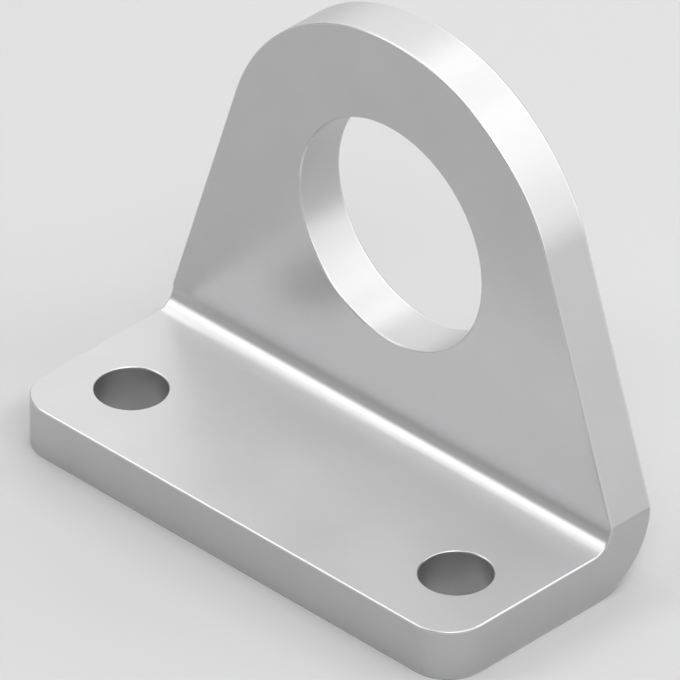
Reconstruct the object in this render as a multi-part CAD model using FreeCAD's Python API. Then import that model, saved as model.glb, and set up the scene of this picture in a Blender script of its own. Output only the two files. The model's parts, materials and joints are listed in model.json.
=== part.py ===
# A cylinder foot mount: one steel plate, blanked, pierced and folded square.
# The foot lies on a machine's frame and is screwed down through two holes.
# The upright stands along the foot's rear edge, and the threaded nose of a
# pneumatic cylinder is clamped in its bore.
#
# Frame: X along the foot, +Y from the foot's free edge to the upright, +Z up.
# Origin: on the underside, below the middle of the part's outline.
# All sizes are in millimetres.

import FreeCAD, Part
import math
import os

from FreeCAD import Vector

# The plate and its fold
plate_thickness = 5.0
bend_inner_radius = 2.0
edge_rounding = 0.15
rim_bevel = 0.15

# The foot
foot_width = 54.0
foot_corner_radius = 4.0
screw_diameter = 6.0
screw_clearance = 0.6
screw_pitch = 40.0
screw_to_free_edge = 8.0
screw_to_rear_face = 17.0

# The upright
nose_thread_diameter = 22.0
nose_thread_clearance = 0.2
bore_height = 25.0
head_radius = 20.0
shoulder_radius = 0.5

# Worked out from the sizes above
foot_depth = screw_to_free_edge + screw_to_rear_face
free_edge_y = -foot_depth / 2
rear_face_y = free_edge_y + foot_depth
front_face_y = rear_face_y - plate_thickness
screw_row_y = free_edge_y + screw_to_free_edge
half_width = foot_width / 2
bend_outer_radius = bend_inner_radius + plate_thickness
bend_end_z = bend_outer_radius
bend_start_y = rear_face_y - bend_outer_radius
screw_hole_radius = (screw_diameter + screw_clearance) / 2
bore_radius = (nose_thread_diameter + nose_thread_clearance) / 2
upright_top_z = bore_height + head_radius

# Two faces that turn by less than this, in degrees, meet in no sharp edge
smooth_turn = 20.0


def arc(start, middle, end):
    """An arc of a circle through three points."""
    return Part.Arc(start, middle, end).toShape()


def corner_point(centre, radius, angle, place):
    """The point of a circle at an angle in degrees. place turns its two coordinates into a point in space."""
    turn = math.radians(angle)
    return place(centre[0] + radius * math.cos(turn), centre[1] + radius * math.sin(turn))


def prism(edges, run):
    """The solid swept by a closed outline along a straight run."""
    return Part.Face(Part.Wire(edges)).extrude(run)


def folded_strip():
    """The plate seen from its end: an L with one bend, carried across the foot's width."""

    def place(y, z):
        return Vector(-half_width, y, z)

    bend_centre = (bend_start_y, bend_end_z)
    foot_tip_low = place(free_edge_y, 0)
    outer_start = place(bend_start_y, 0)
    outer_end = place(rear_face_y, bend_end_z)
    rear_top = place(rear_face_y, upright_top_z)
    front_top = place(front_face_y, upright_top_z)
    inner_end = place(front_face_y, bend_end_z)
    inner_start = place(bend_start_y, plate_thickness)
    foot_tip_high = place(free_edge_y, plate_thickness)
    outer_middle = corner_point(bend_centre, bend_outer_radius, -45, place)
    inner_middle = corner_point(bend_centre, bend_inner_radius, -45, place)
    edges = [
        Part.makeLine(foot_tip_low, outer_start),
        arc(outer_start, outer_middle, outer_end),
        Part.makeLine(outer_end, rear_top),
        Part.makeLine(rear_top, front_top),
        Part.makeLine(front_top, inner_end),
        arc(inner_end, inner_middle, inner_start),
        Part.makeLine(inner_start, foot_tip_high),
        Part.makeLine(foot_tip_high, foot_tip_low),
    ]
    return prism(edges, Vector(foot_width, 0, 0))


def upright_blank():
    """The plate seen from the front: straight sides up to the end of the bend, then two
    flanks that lean in and run tangent into the round head."""

    def place(x, z):
        return Vector(x, free_edge_y, z)

    # A flank touches the small shoulder circle and the head circle at one and the same angle
    head_centre = (0, bore_height)
    shoulder_x = half_width - shoulder_radius
    rise = bore_height - bend_end_z
    centre_angle = math.atan2(rise, -shoulder_x)
    lean = centre_angle - math.acos((shoulder_radius - head_radius) / math.hypot(rise, shoulder_x))
    flank_angle = math.degrees(lean)

    def side(sign):
        """One side's points, from the end of the bend up to the head. sign is 1 on the right."""
        centre = (shoulder_x, bend_end_z)
        points = [
            corner_point(centre, shoulder_radius, 0, place),
            corner_point(centre, shoulder_radius, flank_angle / 2, place),
            corner_point(centre, shoulder_radius, flank_angle, place),
            corner_point(head_centre, head_radius, flank_angle, place),
        ]
        return [Vector(sign * point.x, point.y, point.z) for point in points]

    right_start, right_middle, right_shoulder, right_head = side(1)
    left_start, left_middle, left_shoulder, left_head = side(-1)
    head_top = corner_point(head_centre, head_radius, 90, place)
    foot_left = place(-half_width, 0)
    foot_right = place(half_width, 0)
    edges = [
        Part.makeLine(foot_left, foot_right),
        Part.makeLine(foot_right, right_start),
        arc(right_start, right_middle, right_shoulder),
        Part.makeLine(right_shoulder, right_head),
        arc(right_head, head_top, left_head),
        Part.makeLine(left_head, left_shoulder),
        arc(left_shoulder, left_middle, left_start),
        Part.makeLine(left_start, foot_left),
    ]
    return prism(edges, Vector(0, foot_depth, 0))


def foot_blank():
    """The plate seen from above: a rectangle with its two free corners rounded."""

    def place(x, y):
        return Vector(x, y, 0)

    corner_x = half_width - foot_corner_radius
    corner_y = free_edge_y + foot_corner_radius
    rear_left = place(-half_width, rear_face_y)
    rear_right = place(half_width, rear_face_y)
    side_right = place(half_width, corner_y)
    side_left = place(-half_width, corner_y)
    front_right = place(corner_x, free_edge_y)
    front_left = place(-corner_x, free_edge_y)
    middle_right = corner_point((corner_x, corner_y), foot_corner_radius, -45, place)
    middle_left = corner_point((-corner_x, corner_y), foot_corner_radius, -135, place)
    edges = [
        Part.makeLine(rear_left, rear_right),
        Part.makeLine(rear_right, side_right),
        arc(side_right, middle_right, front_right),
        Part.makeLine(front_right, front_left),
        arc(front_left, middle_left, side_left),
        Part.makeLine(side_left, rear_left),
    ]
    return prism(edges, Vector(0, 0, upright_top_z))


def nose_bore():
    """The round bore through the upright, for the cylinder's threaded nose."""
    start = Vector(0, front_face_y, bore_height)
    return Part.makeCylinder(bore_radius, plate_thickness, start, Vector(0, 1, 0))


def screw_holes():
    """The two round holes through the foot."""
    holes = []
    for side in (-1, 1):
        start = Vector(side * screw_pitch / 2, screw_row_y, 0)
        holes.append(Part.makeCylinder(screw_hole_radius, plate_thickness, start, Vector(0, 0, 1)))
    return holes


def is_sharp(solid, edge):
    """True where the two faces at an edge turn by more than smooth_turn."""
    faces = solid.ancestorsOfType(edge, Part.Face)
    if len(faces) != 2:
        return False
    middle = edge.valueAt((edge.FirstParameter + edge.LastParameter) / 2)
    normals = [face.normalAt(*face.Surface.parameter(middle)) for face in faces]
    return math.degrees(normals[0].getAngle(normals[1])) > smooth_turn


def foot_bracket():
    """The finished plate: the folded strip cut to both outlines and pierced. Its holes are
    deburred with a small bevel, and tumbling has rounded its other edges."""
    plate = folded_strip().common(upright_blank()).common(foot_blank())
    pierced = plate.cut([nose_bore()] + screw_holes())
    solid = pierced.removeSplitter().Solids[0]
    rims = [edge for edge in solid.Edges if edge.isClosed()]
    deburred = solid.makeChamfer(rim_bevel, rims)
    sharp = [edge for edge in deburred.Edges if not edge.isClosed() and is_sharp(deburred, edge)]
    return deburred.makeFillet(edge_rounding, sharp)


os.makedirs("parts", exist_ok=True)
foot_bracket().exportStep("parts/foot_bracket.step")
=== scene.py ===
# The looks of a cylinder foot mount: one zinc-plated steel plate, pierced and folded square.
# Everything is in metres in the part's own frame: X along the foot, +Y towards the upright, +Z up.

import json
import math

import bpy
import numpy as np
from bpy.props import FloatProperty, FloatVectorProperty, PointerProperty
from bpy.types import Operator, Panel, PropertyGroup
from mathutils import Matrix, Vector

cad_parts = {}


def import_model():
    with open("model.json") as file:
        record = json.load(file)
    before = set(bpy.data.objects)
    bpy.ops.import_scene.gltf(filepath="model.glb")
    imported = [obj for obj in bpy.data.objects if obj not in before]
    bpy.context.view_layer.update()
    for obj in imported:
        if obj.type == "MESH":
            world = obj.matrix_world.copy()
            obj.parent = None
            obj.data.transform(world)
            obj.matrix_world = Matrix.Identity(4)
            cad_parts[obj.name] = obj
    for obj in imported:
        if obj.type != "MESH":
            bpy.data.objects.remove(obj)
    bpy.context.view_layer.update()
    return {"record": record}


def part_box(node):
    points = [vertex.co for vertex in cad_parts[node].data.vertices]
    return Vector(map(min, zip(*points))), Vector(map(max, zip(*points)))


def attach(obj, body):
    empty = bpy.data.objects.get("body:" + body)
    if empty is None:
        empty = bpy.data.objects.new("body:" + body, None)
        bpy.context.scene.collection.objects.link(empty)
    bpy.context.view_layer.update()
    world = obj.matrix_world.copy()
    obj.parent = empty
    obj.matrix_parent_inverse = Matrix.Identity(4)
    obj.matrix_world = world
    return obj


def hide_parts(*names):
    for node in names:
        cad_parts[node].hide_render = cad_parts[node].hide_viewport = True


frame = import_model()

bl_info = {
    "name": "Cylinder foot mount",
    "version": (1, 0, 0),
    "blender": (4, 5, 0),
    "location": "3D View > Sidebar > Foot mount",
    "description": "Makes the folded plate of a cylinder foot mount, its zinc finish and its stage",
    "category": "Object",
}

MM = 0.001
NODE = "foot_bracket"
MOUNTS = {mount["name"]: mount for mount in frame["record"]["mounts"]}
BORE = MOUNTS["nose_bore"]
SCREWS = MOUNTS["foot_screws"]

# How finely the surfaces are divided
ARC_STEP = math.radians(2.0)
STRAIGHT_STEP = 0.75 * MM
BEND_ROWS = 36
ROUNDING_ROWS = 4
WALL_ROWS = 4
SPOKE_ROWS = 6
# A length that is a whole number of steps, but for its last digit, takes no more than that
STEP_SLACK = 1e-9
# Points this close become one. The offset, as a share of it, keeps round sizes away from the
# places where rounding changes over
WELD_DISTANCE = 0.001 * MM
WELD_OFFSET = 0.25

# The finish: what a noise gives out in the middle of its range, its detail and its stretch
NOISE_MIDDLE = 0.5
CLOUD_DETAIL = 3.0
GRAIN_DETAIL = 2.0
CLOUD_STRETCH = (1.0, 1.0, 1.0)
GRAIN_STRETCH = (1.0, 0.25, 1.0)
STREAK_STRETCH = (1.0, 1.0, 0.05)
# How far the clouds and the grain move the tone, and the colour's levels at both ends of it
CLOUD_TONE = 0.8
GRAIN_TONE = 0.2
DARKEST = 0.96
LIGHTEST = 1.04
# What the clouds and the cut walls add to the roughness
CLOUD_ROUGHNESS = 0.06
CUT_ROUGHNESS = 0.03
# Depths, as shares of the rounding, by which the lighter edge, partly rubbed wear and partly
# painted highlight, and the cut wall are there in full
EDGE_FULL = 0.05
CUT_FULL = 2.0
# The Mix node's sockets for colours, by number, because its other sockets have the same names
MIX_FACTOR = 0
MIX_FIRST = 6
MIX_SECOND = 7
MIX_RESULT = 2

# The stage: how far the floor reaches, how far off the lamps hang and how far the camera sees
FLOOR_REACH = 3.0
LAMP_DISTANCE = 0.8
CAMERA_REACH = 10.0
# The surround is brighter at the horizon than overhead. It changes between two heights, which
# are given as sines of the elevation
HORIZON_LEVEL = 0.65
OVERHEAD_LEVEL = 0.1
HORIZON_END = 0.15
OVERHEAD_START = 0.55
# Each soft box: its azimuth and elevation in degrees, as seen from the part, its width and
# height, and its brightness
SOFT_BOXES = {
    "left_box": (-46.0, 39.5, 0.40, 0.34, 3.0),
    "high_box": (-87.0, 55.5, 0.50, 0.37, 2.1),
    "rear_left_low_box": (-124.0, 8.0, 0.50, 0.24, 0.6),
    "rear_left_high_box": (-135.0, 33.5, 0.60, 0.45, 1.13),
    "rear_box": (178.0, 50.0, 0.52, 0.36, 2.1),
    "rear_right_low_box": (133.0, 12.0, 0.48, 0.36, 1.3),
    "rear_right_high_box": (133.0, 40.0, 0.48, 0.42, 1.9),
    "overhead_box": (-135.0, 76.0, 0.40, 0.80, 1.5),
    "front_right_box": (71.0, 55.0, 0.76, 0.26, 5.6),
}


class PlateSizes(PropertyGroup):
    """The plate's own sizes. Its width, depth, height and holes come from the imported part."""

    thickness: FloatProperty(
        name="Thickness",
        description="Thickness of the plate",
        default=BORE["dims"]["length_mm"] * MM,
        min=0.5 * MM,
        unit="LENGTH",
        subtype="DISTANCE",
        precision=5,
    )
    bend_radius: FloatProperty(
        name="Bend radius",
        description="Radius inside the fold",
        default=2.0 * MM,
        min=0.1 * MM,
        unit="LENGTH",
        subtype="DISTANCE",
        precision=5,
    )
    corner_radius: FloatProperty(
        name="Foot corners",
        description="Radius of the foot's two free corners",
        default=4.0 * MM,
        min=0.5 * MM,
        unit="LENGTH",
        subtype="DISTANCE",
        precision=5,
    )
    shoulder_radius: FloatProperty(
        name="Shoulders",
        description="Radius where the straight sides turn into the leaning flanks",
        default=0.5 * MM,
        min=0.2 * MM,
        unit="LENGTH",
        subtype="DISTANCE",
        precision=5,
    )
    edge_rounding: FloatProperty(
        name="Edge rounding",
        description="Radius that tumbling leaves on every edge",
        default=0.15 * MM,
        min=0.01 * MM,
        unit="LENGTH",
        subtype="DISTANCE",
        precision=5,
    )


class ZincFinish(PropertyGroup):
    """The satin zinc plating."""

    colour: FloatVectorProperty(
        name="Colour",
        description="Colour of the zinc",
        default=(0.55, 0.55, 0.555),
        min=0.0,
        max=1.0,
        subtype="COLOR",
    )
    # The lighter colour on the rounded edges: partly rubbed wear, partly a painted highlight
    rubbed_and_highlight_colour: FloatVectorProperty(
        name="Rubbed edges",
        description="Colour of the zinc where tumbling has rubbed the rounded edges bright",
        default=(0.64, 0.64, 0.645),
        min=0.0,
        max=1.0,
        subtype="COLOR",
    )
    roughness: FloatProperty(
        name="Roughness",
        description="How far the satin faces spread a reflection",
        default=0.35,
        min=0.0,
        max=1.0,
        subtype="FACTOR",
    )
    cloud_size: FloatProperty(
        name="Cloud size",
        description="Width of the faint clouds in the plating",
        default=6.0 * MM,
        min=0.1 * MM,
        unit="LENGTH",
        subtype="DISTANCE",
        precision=5,
    )
    grain_size: FloatProperty(
        name="Grain size",
        description="Width of the grain that rolling leaves along the sheet",
        default=0.16 * MM,
        min=0.01 * MM,
        unit="LENGTH",
        subtype="DISTANCE",
        precision=5,
    )
    grain_height: FloatProperty(
        name="Grain height",
        description="Height of the grain",
        default=0.0015 * MM,
        min=0.0,
        unit="LENGTH",
        subtype="DISTANCE",
        precision=6,
    )


class StageSettings(PropertyGroup):
    """The floor, the light and the camera."""

    floor_colour: FloatVectorProperty(
        name="Floor",
        description="Colour of the floor",
        default=(0.565, 0.565, 0.565),
        min=0.0,
        max=1.0,
        subtype="COLOR",
    )
    camera_azimuth: FloatProperty(
        name="Camera azimuth",
        description="How far the camera stands to the right of straight ahead",
        default=math.radians(44.85),
        unit="ROTATION",
        subtype="ANGLE",
    )
    camera_elevation: FloatProperty(
        name="Camera elevation",
        description="How high above the horizon the camera stands",
        default=math.radians(34.30),
        unit="ROTATION",
        subtype="ANGLE",
    )
    camera_distance: FloatProperty(
        name="Camera distance",
        description="From the camera to the point that it looks at",
        default=1.492,
        min=0.1,
        unit="LENGTH",
        subtype="DISTANCE",
    )
    camera_aim: FloatVectorProperty(
        name="Camera aim",
        description="The point that the camera looks at",
        default=(0.626 * MM, 0.741 * MM, 17.525 * MM),
        unit="LENGTH",
        subtype="TRANSLATION",
    )
    camera_lens: FloatProperty(
        name="Lens",
        description="Focal length in millimetres on a sensor 36 mm wide",
        default=908.8,
        min=20.0,
    )


class Plate:
    """The plate's places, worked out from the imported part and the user's sizes.

    A blank point is (x, s, w): x across the plate, s along the strip from the foot's free
    edge, and w its depth, from 0 on the underside to the thickness on the top side.
    """

    def __init__(self, sizes):
        low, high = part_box(NODE)
        self.thickness = sizes.thickness
        self.rounding = sizes.edge_rounding
        self.corner_radius = sizes.corner_radius
        self.shoulder_radius = sizes.shoulder_radius
        self.outer_radius = sizes.bend_radius + sizes.thickness
        self.half_width = high.x
        self.free_edge = low.y
        self.foot_run = high.y - low.y - self.outer_radius
        self.bend_run = (sizes.bend_radius + sizes.thickness / 2) * math.pi / 2
        self.bend_end = self.foot_run + self.bend_run
        self.head_radius = high.z - BORE["pos_m"][2]
        self.bore_centre = np.array([0.0, self.bend_end + BORE["pos_m"][2] - self.outer_radius])
        self.bore_radius = BORE["dims"]["r_mm"] * MM
        screw_x = SCREWS["dims"]["spacing_x_mm"] * MM / 2
        self.screw_centre = np.array([screw_x, SCREWS["pos_m"][1] - low.y])
        self.screw_radius = SCREWS["dims"]["hole_r_mm"] * MM


def fold(plate, blank):
    """Blank points folded to the plate's shape.

    On the foot a point keeps its place. Round the bend it turns about the bend's axis at its
    own radius, which is the outer radius less its depth, by a right angle in all. Past the
    bend it goes straight up.
    """
    x, s, w = np.moveaxis(blank, -1, 0)
    before = np.minimum(s - plate.foot_run, 0.0)
    after = np.maximum(s - plate.bend_end, 0.0)
    turn = bend_turn(plate, s)
    radius = plate.outer_radius - w
    y = plate.free_edge + plate.foot_run + before + radius * np.sin(turn)
    z = plate.outer_radius + after - radius * np.cos(turn)
    return np.stack([x, y, z], axis=-1)


def bend_turn(plate, s):
    """The strip's turn at s: none before the bend, a right angle after it, even in between."""
    return np.clip((s - plate.foot_run) / plate.bend_run, 0.0, 1.0) * math.pi / 2


def fold_directions(plate, blank, directions):
    """Directions at blank points, turned about X by the strip's turn there."""
    turn = bend_turn(plate, blank[..., 1])
    across, along, through = np.moveaxis(directions, -1, 0)
    y = along * np.cos(turn) - through * np.sin(turn)
    z = along * np.sin(turn) + through * np.cos(turn)
    return np.stack([across, y, z], axis=-1)


def steps(length, step):
    """How many even steps of at most that size a length takes."""
    return max(1, math.ceil(abs(length) / step - STEP_SLACK))


def arc_rail(centre, radius, start, end):
    """A round stretch of outline: centre + radius (cos, sin) of an even run of angles.
    Each row is a point and its outward direction."""
    angle = np.linspace(start, end, steps(end - start, ARC_STEP) + 1)
    outward = np.stack([np.cos(angle), np.sin(angle)], axis=-1)
    return np.hstack([centre + radius * outward, outward])


def straight_rail(start, end):
    """A straight stretch of outline from the last row of one rail to the first of the next.
    It is tangent to both, so that the outward direction stays the same."""
    count = steps(np.linalg.norm(end[:2] - start[:2]), STRAIGHT_STEP)
    share = np.linspace(0.0, 1.0, count + 1)[:, None]
    return start + (end - start) * share


def mirrored(rail):
    """The same stretch on the other side of the middle plane, run the other way."""
    return rail[::-1] * np.array([-1.0, 1.0, -1.0, 1.0])


def foot_outline(plate):
    """The foot's outline on the right: from the middle of its free edge round the corner and
    up to the start of the bend."""
    corner = np.array([plate.half_width - plate.corner_radius, plate.corner_radius])
    round_corner = arc_rail(corner, plate.corner_radius, -math.pi / 2, 0.0)
    middle = np.array([0.0, 0.0, 0.0, -1.0])
    bend = np.array([plate.half_width, plate.foot_run, 1.0, 0.0])
    return np.vstack([
        straight_rail(middle, round_corner[0])[:-1],
        round_corner,
        straight_rail(round_corner[-1], bend)[1:],
    ])


def bend_outline(plate):
    """The straight right-hand side along the bend."""
    s = np.linspace(plate.foot_run, plate.bend_end, BEND_ROWS + 1)
    one = np.ones_like(s)
    return np.stack([plate.half_width * one, s, one, 0.0 * one], axis=-1)


def upright_outline(plate):
    """The upright's whole outline: from the right shoulder, up the leaning flank that is
    tangent to shoulder and head, over the round head and down the left side.

    The flank's outward direction is the one at which the two circles have a common tangent:
    the line between their middles, less the angle whose cosine is the difference of their
    radii over the distance between their middles.
    """
    shoulder = np.array([plate.half_width - plate.shoulder_radius, plate.bend_end])
    between = plate.bore_centre - shoulder
    slack = plate.shoulder_radius - plate.head_radius
    lean = math.atan2(between[1], between[0]) - math.acos(slack / np.hypot(*between))
    round_shoulder = arc_rail(shoulder, plate.shoulder_radius, 0.0, lean)
    half_head = arc_rail(plate.bore_centre, plate.head_radius, lean, math.pi / 2)
    right = np.vstack([
        round_shoulder,
        straight_rail(round_shoulder[-1], half_head[0])[1:-1],
        half_head,
    ])
    return np.vstack([right, mirrored(right)[1:]])


def inset(rail, distance):
    """The rail's points, moved into the plate by a distance."""
    return rail[:, :2] - rail[:, 2:] * distance


def columns(plate):
    """Even places across the plate, with one in the middle, inside the rounded edges."""
    reach = plate.half_width - plate.rounding
    half = np.linspace(0.0, reach, steps(reach, STRAIGHT_STEP) + 1)
    return np.concatenate([-half[:0:-1], half])


def across(x, s):
    """A straight row of blank points at one s."""
    return np.stack([x, np.full_like(x, s)], axis=-1)


def hole_rail(boundary, centre, radius):
    """A hole's rim, with a point on the line from its middle to each boundary point. Out of
    the plate is towards the hole's middle."""
    spoke = boundary - centre
    spoke = spoke / np.linalg.norm(spoke, axis=-1, keepdims=True)
    return np.hstack([centre + spoke * radius, -spoke])


def spokes(boundary, rim):
    """Straight spokes from each boundary point to its point of the rim, evenly divided."""
    share = np.linspace(0.0, 1.0, SPOKE_ROWS + 1)[:, None, None]
    return boundary * (1.0 - share) + rim * share


def edge_profile(plate):
    """Across an edge of the plate, from the underside to the top side: a quarter round, the
    wall and a quarter round. Each row is the distance into the plate, the depth, and how far
    the surface faces outwards and upwards."""
    turn = np.linspace(0.0, math.pi / 2, ROUNDING_ROWS + 1)
    inward = plate.rounding * (1.0 - np.sin(turn))
    depth = plate.rounding * (1.0 - np.cos(turn))
    low = np.stack([inward, depth, np.sin(turn), -np.cos(turn)], axis=-1)
    high = np.stack([inward, plate.thickness - depth, np.sin(turn), np.cos(turn)], axis=-1)[::-1]
    share = np.linspace(0.0, 1.0, WALL_ROWS + 1)[1:-1, None]
    return np.vstack([low, low[-1] + (high[0] - low[-1]) * share, high])


def edge_surface(plate, rail):
    """The edge profile carried along a closed rail, as blank points and directions."""
    profile = edge_profile(plate)
    point, outward = rail[:, None, :2], rail[:, None, 2:]
    inward, depth, out, up = (profile[None, :, i:i + 1] for i in range(4))
    flat = point - outward * inward
    third = flat.shape[:2] + (1,)
    blank = np.concatenate([flat, np.broadcast_to(depth, third)], axis=-1)
    directions = np.concatenate([outward * out, np.broadcast_to(up, third)], axis=-1)
    return closed(blank), closed(directions)


def closed(grid):
    """A grid whose first row is repeated after its last."""
    return np.concatenate([grid, grid[:1]])


def closed_columns(grid):
    """A grid whose first column is repeated after its last."""
    return np.concatenate([grid, grid[:, :1]], axis=1)


def side_surfaces(plate, flat):
    """A flat grid of blank points on the underside and on the top side."""
    pairs = []
    for depth, up in ((0.0, -1.0), (plate.thickness, 1.0)):
        level = np.full(flat.shape[:2] + (1,), depth)
        blank = np.concatenate([flat, level], axis=-1)
        directions = np.broadcast_to(np.array([0.0, 0.0, up]), blank.shape)
        pairs.append((blank, directions))
    return pairs


def plate_surfaces(plate):
    """Every surface of the plate, as pairs of blank points and directions on a grid."""
    foot = foot_outline(plate)
    bend = bend_outline(plate)
    upright = upright_outline(plate)
    across_x = columns(plate)
    right_x = across_x[across_x >= 0.0]
    rounding = plate.rounding

    # The foot's right half, taken round its screw hole, and its mirror image
    free_side = inset(foot, rounding)
    bend_side = across(right_x, plate.foot_run)[::-1]
    middle_s = np.linspace(plate.foot_run, rounding, steps(plate.foot_run, STRAIGHT_STEP) + 1)
    middle_side = np.stack([np.zeros_like(middle_s), middle_s], axis=-1)
    boundary = np.vstack([free_side[:-1], bend_side[:-1], middle_side[:-1]])
    screw = hole_rail(boundary, plate.screw_centre, plate.screw_radius)
    half_foot = closed_columns(spokes(boundary, inset(screw, rounding)))
    other_half = half_foot * np.array([-1.0, 1.0])

    # The upright, taken round its bore
    upright_side = inset(upright, rounding)
    boundary = np.vstack([across(across_x, plate.bend_end)[:-1], upright_side[:-1]])
    bore = hole_rail(boundary, plate.bore_centre, plate.bore_radius)
    face = closed_columns(spokes(boundary, inset(bore, rounding)))

    # The sides, with the bend between foot and upright, and then the outline and the holes
    bend_rows = np.stack([across(across_x, s) for s in bend[:, 1]])
    surfaces = []
    for flat in (half_foot, other_half, face, bend_rows):
        surfaces += side_surfaces(plate, flat)
    right = np.vstack([foot[:-1], bend[:-1]])
    outline = np.vstack([right, upright, mirrored(right)[:-1]])
    for rail in (outline, bore, screw, mirrored(screw)):
        surfaces.append(edge_surface(plate, rail))
    return surfaces


def welded(surfaces):
    """One skin from many grids: its points, directions, blank places and four-sided faces.

    Points of neighbouring grids that lie in one place become one. A face whose corners'
    directions point against it is turned round.
    """
    points, directions, blanks, faces, count = [], [], [], [], 0
    for folded, turned, blank in surfaces:
        rows, cols = folded.shape[:2]
        index = count + np.arange(rows * cols).reshape(rows, cols)
        corners = [index[:-1, :-1], index[1:, :-1], index[1:, 1:], index[:-1, 1:]]
        faces.append(np.stack(corners, axis=-1).reshape(-1, 4))
        points.append(folded.reshape(-1, 3))
        directions.append(turned.reshape(-1, 3))
        blanks.append(blank.reshape(-1, 3))
        count += rows * cols
    points, directions, blanks, faces = map(np.concatenate, (points, directions, blanks, faces))
    places = np.round(points / WELD_DISTANCE + WELD_OFFSET).astype(np.int64)
    first, which = np.unique(places, axis=0, return_index=True, return_inverse=True)[1:]
    points, directions, blanks = points[first], directions[first], blanks[first]
    faces = which.ravel()[faces]
    diagonals = points[faces[:, 2]] - points[faces[:, 0]], points[faces[:, 3]] - points[faces[:, 1]]
    facing = np.einsum("ij,ij->i", np.cross(*diagonals), directions[faces].sum(axis=1))
    faces[facing < 0] = faces[facing < 0][:, ::-1]
    return points, directions, blanks, faces


def plate_mesh(plate):
    """The folded plate as a mesh with its true normals and its blank places as an attribute."""
    folded = [
        (fold(plate, blank), fold_directions(plate, blank, directions), blank)
        for blank, directions in plate_surfaces(plate)
    ]
    points, directions, blanks, faces = welded(folded)
    mesh = bpy.data.meshes.new("folded_plate")
    mesh.from_pydata(points.tolist(), [], faces.tolist())
    if mesh.validate():
        raise RuntimeError("the folded plate has faces that aren't sound")
    edges = np.sort(np.stack([faces, np.roll(faces, -1, axis=1)], axis=-1).reshape(-1, 2), axis=1)
    if (np.unique(edges, axis=0, return_counts=True)[1] != 2).any():
        raise RuntimeError("the folded plate isn't closed")
    mesh.shade_smooth()
    mesh.normals_split_custom_set_from_vertices(directions.tolist())
    attribute = mesh.attributes.new("blank", "FLOAT_VECTOR", "POINT")
    attribute.data.foreach_set("vector", blanks.astype(np.float32).ravel())
    return mesh


class Wire:
    """A number that a node gives out. An expression on wires adds its Math nodes."""

    def __init__(self, shader, socket):
        self.shader = shader
        self.socket = socket

    def maths(self, operation, first, second):
        """A Math node on two wires or values."""
        return self.shader.node("ShaderNodeMath", {"operation": operation}, {0: first, 1: second})

    def __add__(self, other):
        return self.maths("ADD", self, other)

    def __radd__(self, other):
        return self.maths("ADD", other, self)

    def __sub__(self, other):
        return self.maths("SUBTRACT", self, other)

    def __rsub__(self, other):
        return self.maths("SUBTRACT", other, self)

    def __mul__(self, other):
        return self.maths("MULTIPLY", self, other)

    def __rmul__(self, other):
        return self.maths("MULTIPLY", other, self)

    def __abs__(self):
        return self.maths("ABSOLUTE", self, 0.0)


class Shader:
    """A material's or a world's nodes."""

    def __init__(self, owner):
        owner.use_nodes = True
        self.tree = owner.node_tree
        self.tree.nodes.clear()

    def node(self, kind, settings, sockets, output=0):
        """A node of that kind: its settings first, then its sockets' values or wires. What
        comes back is the wire of one of its outputs."""
        made = self.tree.nodes.new(kind)
        for name, value in settings.items():
            setattr(made, name, value)
        for name, value in sockets.items():
            if isinstance(value, Wire):
                self.tree.links.new(value.socket, made.inputs[name])
            else:
                made.inputs[name].default_value = value
        return Wire(self, made.outputs[output]) if made.outputs else None


def ramp(shader, value, start, end):
    """A smooth rise from 0 where the value is at start to 1 where it is at end."""
    return shader.node("ShaderNodeMapRange", {"interpolation_type": "SMOOTHSTEP"}, {
        "Value": value,
        "From Min": start,
        "From Max": end,
    })


def mix(shader, factor, first, second):
    """The first colour where the factor is 0 and the second where it is 1."""
    return shader.node("ShaderNodeMix", {"data_type": "RGBA"}, {
        MIX_FACTOR: factor,
        MIX_FIRST: first,
        MIX_SECOND: second,
    }, MIX_RESULT)


def rgba(colour, level=1.0):
    """A colour's channels times a level, and full alpha."""
    return (*(level * channel for channel in colour), 1.0)


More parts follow.
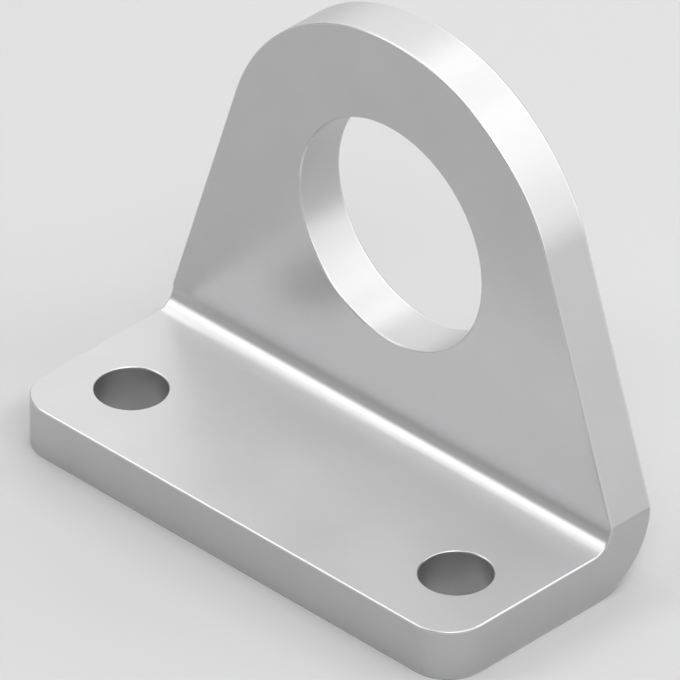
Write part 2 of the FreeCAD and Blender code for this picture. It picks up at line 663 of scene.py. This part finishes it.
def zinc_material(plate, finish):
    """Satin zinc plating on cold-rolled steel.

    Every pattern reads the blank places, so that it runs round the bend with the sheet. A fine
    grain, four times as long along the strip as across it, stands up a thousandth of a
    millimetre or two. Clouds some millimetres wide vary the tone and the roughness by a little.
    The walls that blanking and piercing cut are rougher and hold streaks through the thickness. The
    rounded edges are lighter: partly wear that tumbling has rubbed bright, and partly a painted
    highlight that stands in for lines of light along them.
    """
    material = bpy.data.materials.new("satin_zinc")
    shader = Shader(material)
    blank = shader.node("ShaderNodeAttribute", {"attribute_name": "blank"}, {}, "Vector")
    depth = shader.node("ShaderNodeSeparateXYZ", {}, {"Vector": blank}, "Z")

    # How far a place lies below the nearer side: none on a side, and most halfway down a wall
    half = plate.thickness / 2
    below = half - abs(depth - half)
    cut = ramp(shader, below, plate.rounding, CUT_FULL * plate.rounding)
    # The rounded edges, where the colour is lightened: partly rubbed wear, partly a painted
    # highlight
    edge = ramp(shader, below, 0.0, EDGE_FULL * plate.rounding) * (1.0 - cut)

    def noise(stretch, size, detail):
        """Spots of a size, longer along an axis whose stretch is below 1."""
        place = shader.node("ShaderNodeVectorMath", {"operation": "MULTIPLY"}, {
            0: blank,
            1: stretch,
        })
        return shader.node("ShaderNodeTexNoise", {}, {
            "Vector": place,
            "Scale": 1.0 / size,
            "Detail": detail,
        })

    clouds = noise(CLOUD_STRETCH, finish.cloud_size, CLOUD_DETAIL) - NOISE_MIDDLE
    grain = noise(GRAIN_STRETCH, finish.grain_size, GRAIN_DETAIL)
    streaks = noise(STREAK_STRETCH, finish.grain_size, GRAIN_DETAIL)
    relief = grain + cut * (streaks - grain)

    drift = NOISE_MIDDLE + clouds * CLOUD_TONE + (relief - NOISE_MIDDLE) * GRAIN_TONE
    tone = ramp(shader, drift, 0.0, 1.0)
    faces = mix(shader, tone, rgba(finish.colour, DARKEST), rgba(finish.colour, LIGHTEST))
    surface = shader.node("ShaderNodeBsdfPrincipled", {}, {
        # On the rounded edges the base colour goes lighter, a painted highlight as well as rubbed
        # wear
        "Base Color": mix(shader, edge, faces, rgba(finish.rubbed_and_highlight_colour)),
        "Metallic": 1.0,
        "Roughness": finish.roughness + clouds * CLOUD_ROUGHNESS + cut * CUT_ROUGHNESS,
        "Normal": shader.node("ShaderNodeBump", {}, {
            "Height": relief,
            "Distance": finish.grain_height,
        }),
    })
    shader.node("ShaderNodeOutputMaterial", {}, {"Surface": surface})
    return material


class FOOTMOUNT_OT_plate(Operator):
    """Make the folded plate in satin zinc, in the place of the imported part's node"""

    bl_idname = "foot_mount.plate"
    bl_label = "Folded plate"

    def execute(self, context):
        plate = Plate(context.scene.foot_mount_sizes)
        piece = bpy.data.objects.new("folded_plate", plate_mesh(plate))
        piece.data.materials.append(zinc_material(plate, context.scene.foot_mount_finish))
        context.scene.collection.objects.link(piece)
        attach(piece, "root")
        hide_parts(NODE)
        return {"FINISHED"}


def floor_material(stage):
    """A matt pale floor, which holds the part's shadow."""
    material = bpy.data.materials.new("pale_floor")
    shader = Shader(material)
    surface = shader.node("ShaderNodeBsdfDiffuse", {}, {"Color": rgba(stage.floor_colour)})
    shader.node("ShaderNodeOutputMaterial", {}, {"Surface": surface})
    return material


def direction(azimuth, elevation):
    """The unit vector from the part towards an azimuth and elevation. Azimuth 0 is in front,
    towards -Y, and a quarter turn is to the right, towards +X."""
    return Vector((
        math.sin(azimuth) * math.cos(elevation),
        -math.cos(azimuth) * math.cos(elevation),
        math.sin(elevation),
    ))


def floor(stage):
    """A flat square under the part."""
    mesh = bpy.data.meshes.new("floor")
    corners = [(-1, -1), (1, -1), (1, 1), (-1, 1)]
    points = [(x * FLOOR_REACH, y * FLOOR_REACH, 0.0) for x, y in corners]
    mesh.from_pydata(points, [], [(0, 1, 2, 3)])
    mesh.materials.append(floor_material(stage))
    made = bpy.data.objects.new("floor", mesh)
    bpy.context.scene.collection.objects.link(made)


def soft_box(stage, name, azimuth, elevation, width, height, brightness):
    """A lamp that faces the point that the camera looks at, and that no camera sees. Its power
    is its brightness times pi times its area."""
    light = bpy.data.lights.new(name, "AREA")
    light.shape = "RECTANGLE"
    light.size = width
    light.size_y = height
    light.energy = brightness * math.pi * width * height
    lamp = bpy.data.objects.new(name, light)
    away = direction(math.radians(azimuth), math.radians(elevation))
    lamp.location = Vector(stage.camera_aim) + away * LAMP_DISTANCE
    lamp.rotation_euler = away.to_track_quat("Z", "Y").to_euler()
    lamp.visible_camera = False
    bpy.context.scene.collection.objects.link(lamp)


def world():
    """A soft surround, brightest at the horizon."""
    made = bpy.data.worlds.new("surround")
    shader = Shader(made)
    way = shader.node("ShaderNodeTexCoord", {}, {}, "Generated")
    height = shader.node("ShaderNodeSeparateXYZ", {}, {"Vector": way}, "Z")
    rise = ramp(shader, height, HORIZON_END, OVERHEAD_START)
    level = HORIZON_LEVEL + rise * (OVERHEAD_LEVEL - HORIZON_LEVEL)
    light = shader.node("ShaderNodeBackground", {}, {
        "Color": rgba((1.0, 1.0, 1.0)),
        "Strength": level,
    })
    shader.node("ShaderNodeOutputWorld", {}, {"Surface": light})
    bpy.context.scene.world = made


def camera(stage):
    """The camera at the photograph's viewing angle."""
    data = bpy.data.cameras.new("camera")
    data.lens = stage.camera_lens
    data.clip_end = CAMERA_REACH
    made = bpy.data.objects.new("camera", data)
    back = direction(stage.camera_azimuth, stage.camera_elevation)
    made.location = Vector(stage.camera_aim) + back * stage.camera_distance
    made.rotation_euler = back.to_track_quat("Z", "Y").to_euler()
    bpy.context.scene.collection.objects.link(made)
    bpy.context.scene.camera = made


class FOOTMOUNT_OT_stage(Operator):
    """Make the floor, the light and the camera"""

    bl_idname = "foot_mount.stage"
    bl_label = "Stage"

    def execute(self, context):
        stage = context.scene.foot_mount_stage
        floor(stage)
        for name, box in SOFT_BOXES.items():
            soft_box(stage, name, *box)
        world()
        camera(stage)
        context.scene.view_settings.view_transform = "Standard"
        return {"FINISHED"}


class FOOTMOUNT_PT_panel(Panel):
    """The part's sizes, finish and stage, with a button for each operator"""

    bl_idname = "FOOTMOUNT_PT_panel"
    bl_label = "Cylinder foot mount"
    bl_space_type = "VIEW_3D"
    bl_region_type = "UI"
    bl_category = "Foot mount"

    def draw(self, context):
        scene = context.scene
        for group, operator in (
            (scene.foot_mount_sizes, None),
            (scene.foot_mount_finish, FOOTMOUNT_OT_plate.bl_idname),
            (scene.foot_mount_stage, FOOTMOUNT_OT_stage.bl_idname),
        ):
            column = self.layout.column(align=True)
            for name in group.__annotations__:
                column.prop(group, name)
            if operator:
                column.operator(operator)


CLASSES = (
    PlateSizes,
    ZincFinish,
    StageSettings,
    FOOTMOUNT_OT_plate,
    FOOTMOUNT_OT_stage,
    FOOTMOUNT_PT_panel,
)


def register():
    """Register the classes and give the scene their settings."""
    for each in CLASSES:
        bpy.utils.register_class(each)
    bpy.types.Scene.foot_mount_sizes = PointerProperty(type=PlateSizes)
    bpy.types.Scene.foot_mount_finish = PointerProperty(type=ZincFinish)
    bpy.types.Scene.foot_mount_stage = PointerProperty(type=StageSettings)


def unregister():
    """Take away the scene's settings and the classes."""
    del bpy.types.Scene.foot_mount_stage
    del bpy.types.Scene.foot_mount_finish
    del bpy.types.Scene.foot_mount_sizes
    for each in reversed(CLASSES):
        bpy.utils.unregister_class(each)


def main():
    """Make the part and its stage."""
    register()
    bpy.ops.foot_mount.plate()
    bpy.ops.foot_mount.stage()


if __name__ == "__main__":
    main()
